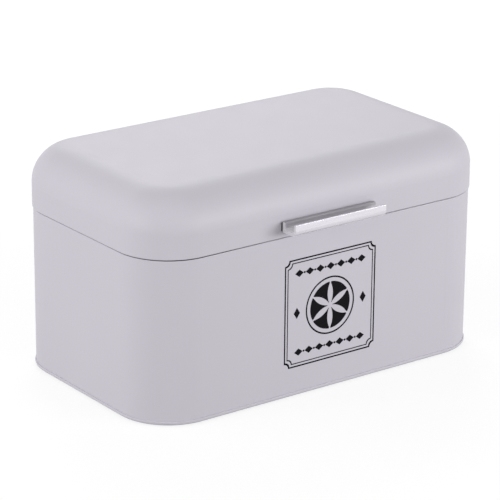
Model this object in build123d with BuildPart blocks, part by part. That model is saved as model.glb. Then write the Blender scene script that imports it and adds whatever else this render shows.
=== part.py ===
"""Bread box: a painted sheet-metal body with a hinged, round-edged lid and a metal channel handle.

Millimetres. The pieces are drawn about the middle of the body and written about the middle of the whole
box, handle and hinges included, on the surface that the feet stand on. +Z is up, the front with the handle
faces -Y, and +X is to the right as seen from the front.
"""
from build123d import *
import math
import os

os.makedirs("parts", exist_ok=True)

# Driving dimensions of the body
body_width = 330.0
body_depth = 198.0
body_height = 132.9
corner_radius = 44.0
sheet = 0.8
shoulder_radius = 1.0
neck_height = 4.0
neck_clearance = 1.8

# Base pan and feet
foot_stand = 1.0
pan_lap = 1.1
pan_bend_radius = 2.0
pan_edge_radius = 0.6
pan_fit = 0.1
foot_radius = 8.0
foot_inset = 34.0
foot_stem_radius = 3.0
foot_head_radius = 4.4
foot_head_height = 2.4
foot_fit = 0.1

# Vent holes in the back wall
vent_radius = 1.75
vent_pitch = 12.0
vent_count = 8
vent_below_shoulder = 18.0

# Lid
lid_overhang = 0.8
lid_skirt = 18.9
lid_round = 31.0
seam_gap = 0.6
hem_height = 3.0
hem_radius = 0.6

# Handle, a channel that is open at the top and sits a little left of the middle
handle_offset = -3.5
handle_length = 88.0
handle_reach = 16.5
handle_above_edge = 5.3
handle_lip_height = 9.6
handle_lip = 1.8
handle_flange_height = 8.4
handle_flange = 3.5
handle_floor = 3.0
handle_root_radius = 1.8
handle_scoop_radius = 3.0
handle_front_radius = 5.0
handle_heel_radius = 0.5
handle_edge_radius = 0.2
handle_pad_thickness = 1.5
handle_pad_margin = 1.0
stud_inset = 15.0
stud_radius = 1.5
stud_fit = 0.2
stud_past_nut = 0.8
nut_across_flats = 5.5
nut_height = 2.4
nut_fit = 0.05
washer_radius = 3.5
washer_thickness = 0.6

# Hinges
hinge_width = 40.0
hinge_edge_margin = 6.0
leaf = 1.0
leaf_end_margin = 1.5
leaf_corner_radius = 3.0
body_leaf_length = 16.0
barrel_radius = 2.6
barrel_standoff = 0.5
knuckle_gap = 0.3
leaf_relief = 0.4
pin_radius = 1.25
pin_fit = 0.05
pin_head_radius = 1.9
pin_head_height = 0.7
open_angle = 105.0
stop_reach = 5.0
stop_gap = 0.15
stop_depth = 1.2

# Hinge rivets
rivet_radius = 1.5
rivet_fit = 0.05
rivet_head_radius = 2.6
rivet_head_height = 1.2
rivet_tail_radius = 2.2
rivet_tail_height = 0.8
rivet_spacing = 22.0
rivet_washer_radius = 2.8
rivet_washer_thickness = 0.5

# Levels and faces that follow from the sizes above
floor_top = foot_stand + sheet
wall_bottom = floor_top + pan_bend_radius - sheet + pan_fit
pan_top = wall_bottom + pan_lap
shoulder_top = foot_stand + body_height
lid_bottom = shoulder_top + seam_gap
lid_top = lid_bottom + lid_skirt + lid_round
lid_depth = body_depth + 2 * lid_overhang
hem_inset = 2 * sheet
neck_inset = hem_inset - lid_overhang + neck_clearance
body_back = body_depth / 2
lid_back = lid_depth / 2
lid_front = -lid_depth / 2
axis_y = lid_back + barrel_standoff + barrel_radius
axis_z = shoulder_top + seam_gap / 2
hinge_offset = body_width / 2 - corner_radius - hinge_edge_margin - hinge_width / 2
knuckle = (hinge_width - 2 * knuckle_gap) / 3
foot_x = body_width / 2 - foot_inset
foot_y = body_depth / 2 - foot_inset
handle_bottom = lid_bottom + handle_above_edge
handle_floor_top = handle_bottom + handle_floor
handle_lip_top = handle_bottom + handle_lip_height
handle_flange_top = handle_bottom + handle_flange_height
handle_pad_low = handle_bottom + handle_heel_radius
handle_pad_high = handle_flange_top - handle_pad_margin
handle_pad_mid = (handle_pad_low + handle_pad_high) / 2
handle_back = lid_front - handle_pad_thickness
handle_front = handle_back - handle_reach
hinge_back = axis_y + stop_reach
box_middle_y = (handle_front + hinge_back) / 2
nut_seat = lid_front + sheet + washer_thickness
stud_tip = nut_seat + nut_height + stud_past_nut
stud_x = handle_length / 2 - stud_inset

# Hinge leaves, measured from the pin's axis: negative is towards the box and down
lid_leaf_face = lid_back - axis_y
body_leaf_face = body_back - axis_y
lid_leaf_low = barrel_radius + leaf_relief
lid_leaf_high = lid_bottom + lid_skirt - leaf_end_margin - axis_z
body_leaf_high = -(barrel_radius + leaf_relief)
body_leaf_low = body_leaf_high - body_leaf_length
lid_rivet_z = axis_z + (lid_leaf_low + lid_leaf_high) / 2
body_rivet_z = axis_z + (body_leaf_low + body_leaf_high) / 2
rivet_x = [side * hinge_offset + end * rivet_spacing / 2 for side in (-1, 1) for end in (-1, 1)]
sides = (("left", -hinge_offset), ("right", hinge_offset))


def rounded_block(inset, bottom, top, mode=Mode.ADD):
    """Adds a block with the body's rounded plan, drawn in by inset on every side."""
    with BuildSketch(Plane.XY.offset(bottom)) as plan:
        RectangleRounded(body_width - 2 * inset, body_depth - 2 * inset, corner_radius - inset)
    extrude(plan.sketch, amount=top - bottom, mode=mode)


def drill(points, radius, start, end):
    """Cuts round holes along Y at the given (x, z) points, from the plane y = start to y = end."""
    with BuildSketch(Plane.XZ.offset(-start)) as holes:
        with Locations(*points):
            Circle(radius)
    extrude(holes.sketch, amount=start - end, mode=Mode.SUBTRACT)


def save(builder, label):
    """Moves a finished piece to the whole box's origin, labels it and writes it as a file of its own."""
    builder.part.move(Location((0, -box_middle_y, 0)))
    builder.part.label = label
    export_step(builder.part, f"parts/{label}.step")


body_rivets = [(x, body_rivet_z) for x in rivet_x]
lid_rivets = [(x, lid_rivet_z) for x in rivet_x]
studs = [(handle_offset + x, handle_pad_mid) for x in (-stud_x, stud_x)]
feet = [(x, y) for x in (-foot_x, foot_x) for y in (-foot_y, foot_y)]
vent_steps = [i - (vent_count - 1) / 2 for i in range(vent_count)]
vents = [(step * vent_pitch, shoulder_top - vent_below_shoulder) for step in vent_steps]

# Body wall: one wrapped sheet, rolled in at the shoulder to a neck that the lid closes over
with BuildPart() as body_shell:
    rounded_block(0, wall_bottom, shoulder_top)
    fillet(body_shell.edges().group_by(Axis.Z)[-1], shoulder_radius)
    rounded_block(neck_inset, shoulder_top - sheet, shoulder_top + neck_height)
    rounded_block(sheet, wall_bottom, shoulder_top - sheet, Mode.SUBTRACT)
    rounded_block(neck_inset + sheet, wall_bottom, shoulder_top + neck_height, Mode.SUBTRACT)
    drill(body_rivets, rivet_radius + rivet_fit, body_back - sheet, body_back)
    drill(vents, vent_radius, body_back - sheet, body_back)
save(body_shell, "body_shell")

# Base pan: a shallow tray whose rim stands round the outside of the wall
with BuildPart() as base_pan:
    rounded_block(-pan_fit - sheet, foot_stand, pan_top)
    fillet(base_pan.edges().group_by(Axis.Z)[0], pan_bend_radius)
    rounded_block(-pan_fit, floor_top, pan_top, Mode.SUBTRACT)
    floor_face = base_pan.faces().filter_by(Axis.Z).sort_by(Axis.Z)[1]
    fillet(floor_face.edges(), pan_bend_radius - sheet)
    rim_face = base_pan.faces().sort_by(Axis.Z)[-1]
    fillet(rim_face.outer_wire().edges(), pan_edge_radius)
    with BuildSketch(Plane.XY.offset(foot_stand)):
        with Locations(*feet):
            Circle(foot_stem_radius + foot_fit)
    extrude(amount=sheet, mode=Mode.SUBTRACT)
save(base_pan, "base_pan")

# Rubber feet: a pad below the pan, a stem through it and a head that holds it from above
for (x, y), label in zip(feet, ("front_left", "rear_left", "front_right", "rear_right")):
    with BuildPart() as foot:
        with BuildSketch(Plane.XZ):
            with BuildLine():
                Polyline(
                    (0, 0),
                    (foot_radius, 0),
                    (foot_radius, foot_stand),
                    (foot_stem_radius, foot_stand),
                    (foot_stem_radius, floor_top),
                    (foot_head_radius, floor_top),
                    (foot_stem_radius, floor_top + foot_head_height),
                    (0, floor_top + foot_head_height),
                    close=True,
                )
            make_face()
        revolve(axis=Axis.Z)
    foot.part.locate(Location((x, y, 0)))
    save(foot, f"foot_{label}")

# Lid: one pressed shell with a folded hem inside its lower edge
with BuildPart() as lid_hollow:
    rounded_block(sheet - lid_overhang, lid_bottom + hem_height, lid_top - sheet)
    fillet(lid_hollow.edges().group_by(Axis.Z)[-1], lid_round - sheet)
    rounded_block(hem_inset - lid_overhang, lid_bottom, lid_bottom + hem_height)

with BuildPart() as lid_shell:
    rounded_block(-lid_overhang, lid_bottom, lid_top)
    fillet(lid_shell.edges().group_by(Axis.Z)[-1], lid_round)
    add(lid_hollow.part, mode=Mode.SUBTRACT)
    fillet(lid_shell.faces().sort_by(Axis.Z)[0].edges(), hem_radius)
    drill(lid_rivets, rivet_radius + rivet_fit, lid_back - sheet, lid_back)
    drill(studs, stud_radius + stud_fit, lid_front, lid_front + sheet)
save(lid_shell, "lid_shell")

# Handle pad between the handle's back and the lid's front
with BuildPart() as handle_pad:
    with BuildSketch(Plane.XZ.offset(-lid_front)):
        with Locations((handle_offset, handle_pad_mid)):
            Rectangle(handle_length, handle_pad_high - handle_pad_low)
        with Locations(*studs):
            Circle(stud_radius + stud_fit, mode=Mode.SUBTRACT)
    extrude(amount=handle_pad_thickness)
save(handle_pad, "handle_pad")

# Handle: a metal channel with a stout back flange, a wide bend up to its thin front lip, and studs on its back
with BuildPart() as handle_channel:
    with BuildSketch(Plane.YZ.offset(handle_offset - handle_length / 2)):
        with BuildLine():
            FilletPolyline(
                (handle_back, handle_bottom),
                (handle_back, handle_flange_top),
                (handle_back - handle_flange, handle_flange_top),
                (handle_back - handle_flange, handle_floor_top),
                (handle_front + handle_lip, handle_floor_top),
                (handle_front + handle_lip, handle_lip_top),
                (handle_front, handle_lip_top),
                (handle_front, handle_bottom),
                radius=[
                    handle_heel_radius,
                    handle_edge_radius,
                    handle_edge_radius,
                    handle_root_radius,
                    handle_scoop_radius,
                    handle_edge_radius,
                    handle_edge_radius,
                    handle_front_radius,
                ],
                close=True,
            )
        make_face()
    extrude(amount=handle_length)
    with BuildSketch(Plane.XZ.offset(-handle_back)):
        with Locations(*studs):
            Circle(stud_radius)
    extrude(amount=handle_back - stud_tip)
save(handle_channel, "handle_channel")

# Nuts and washers on the handle's studs, inside the lid
with BuildPart() as handle_nuts:
    with BuildSketch(Plane.XZ.offset(-nut_seat)):
        with Locations(*studs):
            RegularPolygon(nut_across_flats / 2, 6, major_radius=False)
            Circle(stud_radius + nut_fit, mode=Mode.SUBTRACT)
    extrude(amount=-nut_height)
save(handle_nuts, "handle_nuts")

with BuildPart() as handle_washers:
    with BuildSketch(Plane.XZ.offset(-lid_front - sheet)):
        with Locations(*studs):
            Circle(washer_radius)
            Circle(stud_radius + stud_fit, mode=Mode.SUBTRACT)
    extrude(amount=-washer_thickness)
save(handle_washers, "handle_washers")

# The lid leaf's outer face at the open stop, as a line that the stop heels on the body leaf stay under
stop_slope = math.tan(math.radians(90 - open_angle))
stop_height = -(lid_leaf_face + leaf) / math.cos(math.radians(90 - open_angle)) - stop_gap

# Hinge leaves: the body's has the two end knuckles and the stop heels, the lid's has the middle knuckle
for side, x in sides:
    end_plane = Plane(origin=(x - hinge_width / 2, axis_y, axis_z), x_dir=(0, 1, 0), z_dir=(1, 0, 0))

    with BuildPart() as body_leaf:
        with BuildSketch(end_plane):
            with Locations((body_leaf_face + leaf / 2, (body_leaf_low + body_leaf_high) / 2)):
                Rectangle(leaf, body_leaf_length)
        extrude(amount=hinge_width)
        fillet(body_leaf.edges().filter_by(Axis.Y).group_by(Axis.Z)[0], leaf_corner_radius)
        for start in (0, hinge_width - knuckle):
            with BuildSketch(end_plane.offset(start)):
                Circle(barrel_radius)
                Polygon(
                    (body_leaf_face, body_leaf_high - leaf),
                    (body_leaf_face + leaf, body_leaf_high - leaf),
                    (0, -pin_radius - pin_fit),
                    (-barrel_radius, 0),
                    (body_leaf_face, -leaf),
                    align=None,
                )
                Polygon(
                    (0, -stop_depth),
                    (stop_reach, -stop_depth),
                    (stop_reach, stop_height + stop_slope * stop_reach),
                    (0, stop_height),
                    align=None,
                )
            extrude(amount=knuckle)
        with BuildSketch(end_plane):
            Circle(pin_radius + pin_fit)
        extrude(amount=hinge_width, mode=Mode.SUBTRACT)
        drill(body_rivets, rivet_radius + rivet_fit, body_back, body_back + leaf)
    save(body_leaf, f"hinge_{side}_body_leaf")

    with BuildPart() as lid_leaf:
        with BuildSketch(end_plane):
            with Locations((lid_leaf_face + leaf / 2, (lid_leaf_low + lid_leaf_high) / 2)):
                Rectangle(leaf, lid_leaf_high - lid_leaf_low)
        extrude(amount=hinge_width)
        fillet(lid_leaf.edges().filter_by(Axis.Y).group_by(Axis.Z)[-1], leaf_corner_radius)
        with BuildSketch(end_plane.offset(knuckle + knuckle_gap)):
            Circle(barrel_radius)
            Polygon(
                (lid_leaf_face, 0),
                (lid_leaf_face, lid_leaf_low + leaf),
                (lid_leaf_face + leaf, lid_leaf_low + leaf),
                (0, pin_radius + pin_fit),
                (0, 0),
                align=None,
            )
        extrude(amount=knuckle)
        with BuildSketch(end_plane):
            Circle(pin_radius + pin_fit)
        extrude(amount=hinge_width, mode=Mode.SUBTRACT)
        drill(lid_rivets, rivet_radius + rivet_fit, lid_back, lid_back + leaf)
    save(lid_leaf, f"hinge_{side}_lid_leaf")

    with BuildPart() as pin:
        with BuildSketch(end_plane):
            Circle(pin_radius)
        extrude(amount=hinge_width)
        for head_start in (-pin_head_height, hinge_width):
            with BuildSketch(end_plane.offset(head_start)):
                Circle(pin_head_radius)
            extrude(amount=pin_head_height)
    save(pin, f"hinge_{side}_pin")

# Hinge rivets: a domed head outside, a shank through leaf and sheet, and a flat tail on its washer inside
with BuildPart() as rivet:
    tail_seat = -sheet - rivet_washer_thickness
    with BuildSketch(Plane.XY):
        with BuildLine():
            Polyline(
                (rivet_head_radius, leaf),
                (rivet_radius, leaf),
                (rivet_radius, tail_seat),
                (rivet_tail_radius, tail_seat),
                (rivet_tail_radius, tail_seat - rivet_tail_height),
                (0, tail_seat - rivet_tail_height),
                (0, leaf + rivet_head_height),
            )
            TangentArc((0, leaf + rivet_head_height), (rivet_head_radius, leaf), tangent=(1, 0))
        make_face()
    revolve(axis=Axis.Y)

with BuildPart() as rivet_washer:
    with BuildSketch(Plane.XZ.offset(sheet)):
        Circle(rivet_washer_radius)
        Circle(rivet_radius + rivet_fit, mode=Mode.SUBTRACT)
    extrude(amount=rivet_washer_thickness)

for name, face, points in (("body", body_back, body_rivets), ("lid", lid_back, lid_rivets)):
    with BuildPart() as hinge_rivets:
        with Locations(*[(x, face, z) for x, z in points]):
            add(rivet.part)
    save(hinge_rivets, f"{name}_hinge_rivets")
    with BuildPart() as rivet_washers:
        with Locations(*[(x, face, z) for x, z in points]):
            add(rivet_washer.part)
    save(rivet_washers, f"{name}_rivet_washers")
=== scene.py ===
"""Finishes of the bread box: satin paint, bright handle, plated hinges, front print, and a pale studio."""
import math

import bmesh
import bpy
from mathutils import Matrix, Vector


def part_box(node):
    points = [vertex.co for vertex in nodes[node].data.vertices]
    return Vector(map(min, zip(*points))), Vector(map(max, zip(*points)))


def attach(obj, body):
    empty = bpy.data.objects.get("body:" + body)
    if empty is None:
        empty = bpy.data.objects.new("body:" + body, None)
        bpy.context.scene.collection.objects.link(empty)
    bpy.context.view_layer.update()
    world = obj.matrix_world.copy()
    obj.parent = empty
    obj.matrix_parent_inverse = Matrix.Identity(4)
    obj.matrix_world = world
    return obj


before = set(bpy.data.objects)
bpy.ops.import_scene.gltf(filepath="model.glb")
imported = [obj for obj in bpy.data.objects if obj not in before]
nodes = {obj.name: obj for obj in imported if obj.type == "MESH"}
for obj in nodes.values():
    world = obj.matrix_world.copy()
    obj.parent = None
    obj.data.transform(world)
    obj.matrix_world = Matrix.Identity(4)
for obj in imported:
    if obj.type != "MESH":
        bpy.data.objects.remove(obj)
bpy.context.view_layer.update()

MM = 0.001
scene = bpy.context.scene
scene.view_settings.view_transform = "Standard"

# Places taken from the frame, in metres
shell_low, shell_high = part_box("body_shell")
lid_low, lid_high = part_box("lid_shell")
handle_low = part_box("handle_channel")[0]
shell_middle = (shell_low + shell_high) / 2
object_middle = Vector((0, shell_middle.y, lid_high.z / 2))

# Painted shade in the seam: a dark strip on the body's shoulder under the lid's edge, in millimetres: depths
# below the lid's edge, and soft edges
seam_shade_below_lid = (1.1, 0.55)
seam_shade_low_fade = 0.3
seam_shade_high_fade = 0.1

# Where the painted seam shade is darkest, from the left end of the front, and how far that reaches, in
# millimetres
darkest_seam_shade_from_left = 35
darkest_seam_shade_reach = 85

# Handle, in millimetres: front lip, floor of the channel, and the height over which the channel's painted
# light on its floor turns to painted shade towards its rim
handle_lip = 1.8
handle_lip_fade = 0.3
handle_floor = 3.0
handle_shade_rise = 3.6

# How far a face of the handle looks along the bar where its sawn end begins, and where it is all end
sawn_facing = (0.6, 0.9)

# Linear colours, in pairs that a noise drifts between
paint_tones = ((0.546, 0.525, 0.581), (0.554, 0.533, 0.589))
# Painted shade in the seam under the lid: the lighter and the darkest tones
light_seam_shade_tones = ((0.41, 0.393, 0.434), (0.45, 0.432, 0.476))
dark_seam_shade_tones = ((0.03, 0.028, 0.032), (0.05, 0.047, 0.053))
handle_face_tones = ((0.642, 0.620, 0.667), (0.684, 0.663, 0.710))
# Painted light on the handle channel's floor, and painted shade towards its rim
channel_floor_painted_light_tones = ((0.855, 0.835, 0.875), (0.885, 0.865, 0.905))
channel_rim_painted_shade_tones = ((0.345, 0.333, 0.359), (0.375, 0.363, 0.389))
sawn_tones = ((0.655, 0.637, 0.675), (0.695, 0.677, 0.715))
zinc_tones = ((0.56, 0.57, 0.60), (0.64, 0.65, 0.67))
pad_tones = ((0.012, 0.012, 0.013), (0.022, 0.021, 0.022))
foot_tones = ((0.03, 0.03, 0.032), (0.05, 0.05, 0.052))
ink_tones = ((0.0022, 0.0018, 0.003), (0.0042, 0.0034, 0.0056))

# Front print: a square ticket-cornered double line around a rosette, in millimetres
print_shift = 1.7
print_middle_height = 69.4
print_half = 44.7
ink_thickness = 0.06
outer_line = 1.2
inner_line = 0.8
line_step = 2.7
corner_notch = 4.2
rosette_radius = 19.5
rosette_hub = 0.12
rosette_tip = 0.93
petals = 6
petal_turn = 360 / petals
ring_radius = 22.6
ring_line = 1.3
lozenge_half = (4.1, 3.0)
lozenge_pitch = 10.2
lozenge_count = 7
lozenge_row = 32.6
side_lozenge_half = (3.0, 4.6)
dot_radius = 0.9
arc_steps = 14
circle_steps = 96
dot_steps = 24

# Studio, in metres
floor_half = 4
lamp_width = 1.0

# Viewpoint: angles in degrees, places in millimetres, and the focal length in pixels of a square picture
camera_azimuth = -36.634
camera_elevation = 19.534
camera_roll = 0.467
camera_distance = 2131.7
aim_shift = -2.94
aim_height = 87.03
focal_pixels = 2646.2
picture_pixels = 500
sensor_width = 36
view_limit = 20000


def node(tree, kind, **inputs):
    """A shader node with the named inputs set."""
    made = tree.nodes.new("ShaderNode" + kind)
    for name, value in inputs.items():
        made.inputs[name.replace("_", " ")].default_value = value
    return made


def link(tree, target, **outputs):
    """Links node outputs to the named inputs of a node."""
    for name, output in outputs.items():
        tree.links.new(output, target.inputs[name.replace("_", " ")])


def new_material(name):
    """A material, its node tree and its shader."""
    made = bpy.data.materials.new(name)
    made.use_nodes = True
    return made, made.node_tree, made.node_tree.nodes["Principled BSDF"]


def noise(tree, scale, detail=2.0, stretch=(1, 1, 1)):
    """Noise in the object's own metres, stretched along its axes."""
    place = node(tree, "TexCoord")
    mapping = node(tree, "Mapping", Scale=stretch)
    texture = node(tree, "TexNoise", Scale=scale, Detail=detail)
    link(tree, mapping, Vector=place.outputs["Object"])
    link(tree, texture, Vector=mapping.outputs["Vector"])
    return texture.outputs["Fac"]


def cells(tree, scale):
    """One random grey per cell, in the object's own metres."""
    place = node(tree, "TexCoord")
    texture = node(tree, "TexVoronoi", Scale=scale)
    grey = node(tree, "RGBToBW")
    link(tree, texture, Vector=place.outputs["Object"])
    link(tree, grey, Color=texture.outputs["Color"])
    return grey.outputs["Val"]


def spread(tree, value, low, high):
    """Stretches the middle of a noise over low to high."""
    made = node(tree, "MapRange", From_Min=0.3, From_Max=0.7, To_Min=low, To_Max=high)
    link(tree, made, Value=value)
    return made.outputs["Result"]


def blend_colours(tree, share, first, second):
    """One colour turning into another; each is a colour or a node's output."""
    made = node(tree, "Mix")
    made.data_type = "RGBA"
    sockets = [socket for socket in made.inputs if socket.type == "RGBA"]
    for socket, colour in zip(sockets, (first, second)):
        if isinstance(colour, tuple):
            socket.default_value = (*colour, 1)
        else:
            tree.links.new(colour, socket)
    tree.links.new(share, made.inputs[0])
    return [socket for socket in made.outputs if socket.type == "RGBA"][0]


def blend_values(tree, share, first, second):
    """One number turning into another, both node outputs."""
    made = node(tree, "Mix")
    tree.links.new(share, made.inputs[0])
    tree.links.new(first, made.inputs[2])
    tree.links.new(second, made.inputs[3])
    return made.outputs[0]


def tint(tree, value, tones):
    """A colour between two tones, by a noise."""
    return blend_colours(tree, spread(tree, value, low=0, high=1), *tones)


def roughen(tree, shader, height, depth):
    """Fine relief of the given depth in metres."""
    made = node(tree, "Bump", Strength=1.0, Distance=depth)
    link(tree, made, Height=height)
    link(tree, shader, Normal=made.outputs["Normal"])


def larger(tree, first, second):
    """The larger of two node outputs."""
    made = node(tree, "Math")
    made.operation = "MAXIMUM"
    tree.links.new(first, made.inputs[0])
    tree.links.new(second, made.inputs[1])
    return made.outputs["Value"]


def unsigned(tree, value):
    """A node output without its sign."""
    made = node(tree, "Math")
    made.operation = "ABSOLUTE"
    tree.links.new(value, made.inputs[0])
    return made.outputs["Value"]


def part_of(tree, source, axis, low, high):
    """0 below low and 1 above high, along one axis of the object's place or of its surface's direction.

    A surface that looks one way along the axis counts as one that looks the other way.
    """
    place = node(tree, "TexCoord")
    split = node(tree, "SeparateXYZ")
    made = node(tree, "MapRange", From_Min=low, From_Max=high)
    link(tree, split, Vector=place.outputs[source])
    value = split.outputs[axis]
    if source == "Normal":
        value = unsigned(tree, value)
    link(tree, made, Value=value)
    return made.outputs["Result"]


def nearness(tree, place, reach):
    """1 at a place on the object, falling to 0 at the reach."""
    point = node(tree, "TexCoord")
    distance = node(tree, "VectorMath")
    distance.operation = "DISTANCE"
    distance.inputs[1].default_value = place
    made = node(tree, "MapRange", From_Max=reach, To_Min=1.0, To_Max=0.0)
    tree.links.new(point.outputs["Object"], distance.inputs[0])
    link(tree, made, Value=distance.outputs["Value"])
    return made.outputs["Result"]


def painted_seam_shade(tree, paint):
    """The paint with a strip of painted shade in the seam under the lid's edge, darkest near the front left
    corner.
    """
    low, high = (lid_low.z - depth * MM for depth in seam_shade_below_lid)
    darkest_seam_shade_at = (shell_low.x + darkest_seam_shade_from_left * MM, shell_low.y, high)
    seam_shade_drift = noise(tree, scale=90)
    light_seam_shade = tint(tree, seam_shade_drift, light_seam_shade_tones)
    dark_seam_shade = tint(tree, seam_shade_drift, dark_seam_shade_tones)
    seam_shade = blend_colours(tree, nearness(tree, darkest_seam_shade_at, darkest_seam_shade_reach * MM), light_seam_shade, dark_seam_shade)
    over_low = part_of(tree, "Object", "Z", low, low + seam_shade_low_fade * MM)
    over_high = part_of(tree, "Object", "Z", high, high + seam_shade_high_fade * MM)
    return blend_colours(tree, over_high, blend_colours(tree, over_low, paint, seam_shade), paint)


def satin_paint(name, seam_shade_under_lid=False):
    """Baked satin enamel: a soft orange peel, and a tone that drifts slightly over the sheet."""
    made, tree, shader = new_material(name)
    colour = tint(tree, noise(tree, scale=16), paint_tones)
    # Painted shade in the seam under the lid's edge
    if seam_shade_under_lid:
        colour = painted_seam_shade(tree, colour)
    roughness = spread(tree, noise(tree, scale=55), low=0.485, high=0.515)
    link(tree, shader, Base_Color=colour, Roughness=roughness)
    shader.inputs["Specular IOR Level"].default_value = 0.35
    roughen(tree, shader, noise(tree, scale=620, detail=3), depth=0.004 * MM)
    return made


def handle_colour(tree, lines, channel, ends):
    """The bright face, the channel with painted light on its floor that turns to painted shade towards its
    rim, and the sawn ends.
    """
    channel_floor = handle_low.z + handle_floor * MM
    # Painted light on the channel floor, turning to painted shade towards the rim
    shade_rise = part_of(tree, "Object", "Z", channel_floor, channel_floor + handle_shade_rise * MM)
    floor_painted_light = tint(tree, lines, channel_floor_painted_light_tones)
    rim_painted_shade = tint(tree, lines, channel_rim_painted_shade_tones)
    inside = blend_colours(tree, shade_rise, floor_painted_light, rim_painted_shade)
    along = blend_colours(tree, channel, tint(tree, lines, handle_face_tones), inside)
    saw_marks = noise(tree, scale=1, detail=3, stretch=(5200, 400, 5200))
    return blend_colours(tree, ends, along, tint(tree, saw_marks, sawn_tones))


def bright_metal():
    """Satin bar with fine lines along its length, left dull and grey in its channel and on its sawn ends; the
    channel carries painted light on its floor and painted shade towards its rim.
    """
    made, tree, shader = new_material("bright_metal")
    lines = noise(tree, scale=1, detail=3, stretch=(25, 5200, 5200))
    lip_back = handle_low.y + handle_lip * MM
    channel = part_of(tree, "Object", "Y", lip_back - handle_lip_fade * MM, lip_back)
    ends = part_of(tree, "Normal", "X", *sawn_facing)
    dull = larger(tree, channel, ends)
    metal_share = node(tree, "MapRange", To_Min=1.0, To_Max=0.1)
    link(tree, metal_share, Value=dull)
    bright_roughness = spread(tree, lines, low=0.24, high=0.34)
    dull_roughness = spread(tree, lines, low=0.52, high=0.62)
    roughness = blend_values(tree, dull, bright_roughness, dull_roughness)
    colour = handle_colour(tree, lines, channel, ends)
    link(tree, shader, Base_Color=colour, Metallic=metal_share.outputs["Result"], Roughness=roughness)
    roughen(tree, shader, lines, depth=0.0006 * MM)
    return made


def plated_steel():
    """Zinc-plated steel: faint spangles, with a tumbled grain of differing gloss."""
    made, tree, shader = new_material("plated_steel")
    shader.inputs["Metallic"].default_value = 1
    colour = tint(tree, cells(tree, scale=420), zinc_tones)
    roughness = spread(tree, noise(tree, scale=900, detail=4), low=0.26, high=0.42)
    link(tree, shader, Base_Color=colour, Roughness=roughness)
    roughen(tree, shader, noise(tree, scale=1800, detail=3), depth=0.004 * MM)
    return made


def rubber(name, tones, low, high):
    """Moulded rubber with a matt, slightly cloudy skin, whose roughness drifts from low to high."""
    made, tree, shader = new_material(name)
    shader.inputs["Specular IOR Level"].default_value = 0.25
    colour = tint(tree, noise(tree, scale=240, detail=4), tones)
    roughness = spread(tree, noise(tree, scale=700), low, high)
    link(tree, shader, Base_Color=colour, Roughness=roughness)
    roughen(tree, shader, noise(tree, scale=2600, detail=3), depth=0.015 * MM)
    return made


def print_ink():
    """Dense black screen ink, dull, with a little unevenness from the mesh."""
    made, tree, shader = new_material("print_ink")
    shader.inputs["Specular IOR Level"].default_value = 0.06
    colour = tint(tree, noise(tree, scale=900, detail=3), ink_tones)
    roughness = spread(tree, noise(tree, scale=1500), low=0.5, high=0.66)
    link(tree, shader, Base_Color=colour, Roughness=roughness)
    roughen(tree, shader, noise(tree, scale=2200), depth=0.004 * MM)
    return made


def dress(made, *names):
    """Gives a finish to the named nodes."""
    for name in names:
        slots = nodes[name].data.materials
        slots.clear()
        slots.append(made)


def dress_nodes():
    """Gives every node its finish."""
    dress(satin_paint("satin_paint"), "base_pan", "lid_shell")
    # The body's paint carries painted shade in the seam under the lid
    dress(satin_paint("satin_paint_body", seam_shade_under_lid=True), "body_shell")
    dress(bright_metal(), "handle_channel")
    dress(rubber("pad_rubber", pad_tones, low=0.66, high=0.78), "handle_pad")
    feet = [name for name in nodes if name.startswith("foot_")]
    dress(rubber("foot_rubber", foot_tones, low=0.6, high=0.72), *feet)
    plated = [name for name in nodes if name.endswith(("leaf", "pin", "rivets", "washers", "nuts"))]
    dress(plated_steel(), *plated)


def arc(middle, radius, start, end, steps):
    """Points on a circle from one angle to another, both included, in degrees."""
    angles = [math.radians(start + (end - start) * i / steps) for i in range(steps + 1)]
    return [(middle[0] + radius * math.cos(a), middle[1] + radius * math.sin(a)) for a in angles]


def polar(radius, degrees):
    """The point at a radius and an angle round the middle of the print."""
    return (radius * math.cos(math.radians(degrees)), radius * math.sin(math.radians(degrees)))


def ticket(half, notch):
    """A square whose corners are round bites of one radius."""
    loop = []
    for turn, side in enumerate(((1, 1), (-1, 1), (-1, -1), (1, -1))):
        corner = (half * side[0], half * side[1])
        loop += arc(corner, notch, 270 + 90 * turn, 180 + 90 * turn, arc_steps)
    return loop


def circle(radius, middle=(0, 0), steps=circle_steps):
    """A closed circle as a loop of points."""
    return arc(middle, radius, 0, 360 * (steps - 1) / steps, steps - 1)


def lozenge(half, middle):
    """A diamond of the given half width and half height."""
    return [(middle[0] + half[0] * x, middle[1] + half[1] * y) for x, y in ((1, 0), (0, 1), (-1, 0), (0, -1))]


def rosette_field(start):
    """The dark field between two neighbouring petals of a six-petal compass rosette."""
    first = polar(rosette_radius, start - petal_turn)
    second = polar(rosette_radius, start + 2 * petal_turn)
    hub = petal_turn * rosette_hub
    tip = petal_turn * rosette_tip
    slit = petal_turn / 2 * (1 - rosette_tip)
    outward = start + 2 * petal_turn
    inward = start - petal_turn
    up = arc(first, rosette_radius, outward - hub, outward - tip, arc_steps)
    rim = arc((0, 0), rosette_radius, start + slit, start + petal_turn - slit, arc_steps)
    down = arc(second, rosette_radius, inward + tip, inward + hub, arc_steps)
    return up + rim + down


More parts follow.
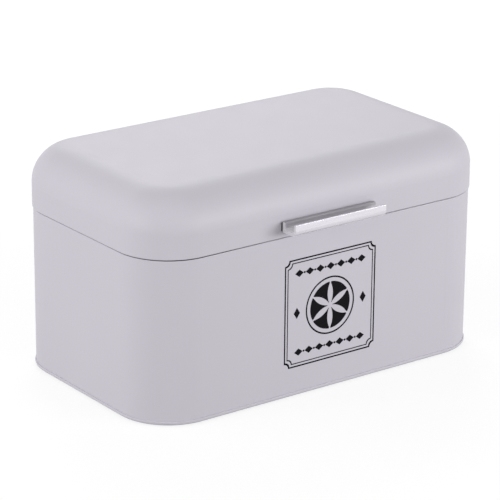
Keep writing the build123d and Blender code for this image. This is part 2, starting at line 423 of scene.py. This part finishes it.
def print_shapes():
    """The filled outlines, and the pairs of outlines with ink between them."""
    inner = print_half - line_step
    bands = [
        (ticket(print_half, corner_notch), ticket(print_half - outer_line, corner_notch)),
        (ticket(inner, corner_notch), ticket(inner - inner_line, corner_notch)),
        (circle(ring_radius + ring_line), circle(ring_radius)),
    ]
    fills = [rosette_field(90 + petal_turn * i) for i in range(petals)]
    row = [(i - (lozenge_count - 1) / 2) * lozenge_pitch for i in range(lozenge_count)]
    for height in (-lozenge_row, lozenge_row):
        fills += [lozenge(lozenge_half, (at, height)) for at in row]
        fills += [circle(dot_radius, (at + lozenge_pitch / 2, height), dot_steps) for at in row[:-1]]
    fills += [lozenge(side_lozenge_half, (side * lozenge_row, 0)) for side in (-1, 1)]
    return fills, bands


def ink_points(mesh, loop, depth):
    """A loop of print coordinates as vertices on the front wall, or at the ink's face."""
    return [
        mesh.verts.new((
            shell_middle.x + (print_shift + u) * MM,
            shell_low.y - depth * MM,
            (print_middle_height + v) * MM,
        ))
        for u, v in loop
    ]


def ink_faces(mesh, first, second):
    """A ring of faces between two loops of vertices."""
    for i in range(len(first)):
        j = (i + 1) % len(first)
        mesh.faces.new((first[i], first[j], second[j], second[i]))


def ink_fill(mesh, loop):
    """Ink that fills an outline."""
    back = ink_points(mesh, loop, 0)
    face = ink_points(mesh, loop, ink_thickness)
    mesh.faces.new(back)
    mesh.faces.new(face)
    ink_faces(mesh, back, face)


def ink_band(mesh, outside, inside):
    """Ink between two outlines."""
    outer_back = ink_points(mesh, outside, 0)
    outer_face = ink_points(mesh, outside, ink_thickness)
    inner_back = ink_points(mesh, inside, 0)
    inner_face = ink_points(mesh, inside, ink_thickness)
    ink_faces(mesh, outer_back, outer_face)
    ink_faces(mesh, outer_face, inner_face)
    ink_faces(mesh, inner_face, inner_back)
    ink_faces(mesh, inner_back, outer_back)


def front_print():
    """The print as thin solid ink on the front wall."""
    mesh = bmesh.new()
    fills, bands = print_shapes()
    for loop in fills:
        ink_fill(mesh, loop)
    for outside, inside in bands:
        ink_band(mesh, outside, inside)
    bmesh.ops.recalc_face_normals(mesh, faces=mesh.faces)
    data = bpy.data.meshes.new("front_print")
    mesh.to_mesh(data)
    mesh.free()
    data.materials.append(print_ink())
    piece = bpy.data.objects.new("front_print", data)
    scene.collection.objects.link(piece)
    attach(piece, "body")


def seen_directly(tree):
    """1 for camera, glossy and transmission rays, 0 for the light that falls on the object."""
    path = node(tree, "LightPath")
    value = path.outputs["Is Camera Ray"]
    for name in ("Is Glossy Ray", "Is Transmission Ray"):
        value = larger(tree, value, path.outputs[name])
    return value


def world_light(level):
    """White where it is seen or mirrored, and a plain even level for the light it casts."""
    world = bpy.data.worlds.new("studio")
    scene.world = world
    world.use_nodes = True
    tree = world.node_tree
    background = tree.nodes["Background"]
    background.inputs["Color"].default_value = (1, 1, 1, 1)
    strength = node(tree, "MapRange", To_Min=level, To_Max=1.0)
    link(tree, strength, Value=seen_directly(tree))
    link(tree, background, Strength=strength.outputs["Result"])


def floor_finish(shown, shown_glow, cast, cast_glow, glow, fade):
    """White that keeps a faint shadow: a share of its light is its own even glow.

    Tone and share have one value where the floor is seen or mirrored, and another for the light it throws up.
    Between the two distances of the fade, in metres, what is seen turns into glow alone, so that the far
    floor is plain white.
    """
    made = bpy.data.materials.new("floor")
    made.use_nodes = True
    tree = made.node_tree
    tree.nodes.clear()
    seen = seen_directly(tree)
    tone = node(tree, "MapRange", To_Min=cast, To_Max=shown)
    link(tree, tone, Value=seen)
    matt = node(tree, "BsdfDiffuse")
    link(tree, matt, Color=tone.outputs["Result"])
    place = node(tree, "TexCoord")
    reach = node(tree, "VectorMath")
    reach.operation = "LENGTH"
    tree.links.new(place.outputs["Object"], reach.inputs[0])
    shown_share = node(tree, "MapRange", From_Min=fade[0], From_Max=fade[1], To_Min=shown_glow)
    link(tree, shown_share, Value=reach.outputs["Value"])
    share = node(tree, "MapRange", To_Min=cast_glow)
    link(tree, share, Value=seen, To_Max=shown_share.outputs["Result"])
    light = node(tree, "Emission", Strength=glow)
    mix = node(tree, "MixShader")
    tree.links.new(share.outputs["Result"], mix.inputs[0])
    tree.links.new(matt.outputs[0], mix.inputs[1])
    tree.links.new(light.outputs[0], mix.inputs[2])
    link(tree, node(tree, "OutputMaterial"), Surface=mix.outputs[0])
    return made


def pale_floor(finish):
    """A wide flat floor that the box stands on."""
    mesh = bmesh.new()
    bmesh.ops.create_grid(mesh, x_segments=2, y_segments=2, size=floor_half)
    data = bpy.data.meshes.new("floor")
    mesh.to_mesh(data)
    mesh.free()
    data.materials.append(finish)
    floor = bpy.data.objects.new("floor", data)
    scene.collection.objects.link(floor)


def direction(azimuth, elevation):
    """The way out from the box at two angles in degrees. Azimuth 0 is in front of it, 90 at its right."""
    az = math.radians(azimuth)
    el = math.radians(elevation)
    return Vector((math.sin(az) * math.cos(el), -math.cos(az) * math.cos(el), math.sin(el)))


def softbox(name, azimuth, elevation, power, height=0.6, distance=1.7, mirrored=True):
    """A soft rectangular lamp aimed at the box. One that isn't mirrored leaves no glare on it."""
    way = direction(azimuth, elevation)
    lamp = bpy.data.lights.new(name, "AREA")
    lamp.shape = "RECTANGLE"
    lamp.size = lamp_width
    lamp.size_y = height
    lamp.energy = power
    made = bpy.data.objects.new(name, lamp)
    made.location = object_middle + way * distance
    made.rotation_euler = way.to_track_quat("Z", "Y").to_euler()
    made.visible_glossy = mirrored
    scene.collection.objects.link(made)


def studio():
    """Even light from all round, a pale floor, and soft lamps at the front, the left and the back."""
    world_light(level=0.43)
    finish = floor_finish(shown=0.9, shown_glow=0.73, cast=0.157, cast_glow=0.235, glow=1.08, fade=(0.6, 1.5))
    pale_floor(finish)
    softbox("front", azimuth=0, elevation=12, power=4.0)
    softbox("front_right", azimuth=30, elevation=12, power=14.2)
    softbox("left", azimuth=270, elevation=12, power=7.7, mirrored=False)
    softbox("left_shine", azimuth=270, elevation=12, power=6.3, distance=1.65)
    softbox("back_left", azimuth=240, elevation=35, power=3.2, height=0.9)
    softbox("back_right", azimuth=150, elevation=35, power=9.8, height=0.9)


def camera():
    """The photograph's viewpoint."""
    az = math.radians(camera_azimuth)
    roll = math.radians(camera_roll)
    back = direction(camera_azimuth, camera_elevation)
    level = Vector((math.cos(az), math.sin(az), 0))
    upright = back.cross(level)
    right = level * math.cos(roll) + upright * math.sin(roll)
    up = upright * math.cos(roll) - level * math.sin(roll)
    aim = Vector((shell_middle.x + aim_shift * MM, shell_middle.y, aim_height * MM))
    place = Matrix((right, up, back)).transposed().to_4x4()
    place.translation = aim + back * (camera_distance * MM)
    made = bpy.data.objects.new("camera", bpy.data.cameras.new("camera"))
    made.matrix_world = place
    made.data.sensor_width = sensor_width
    made.data.lens = focal_pixels * sensor_width / picture_pixels
    made.data.clip_end = view_limit * MM
    scene.collection.objects.link(made)
    scene.camera = made


dress_nodes()
front_print()
studio()
camera()
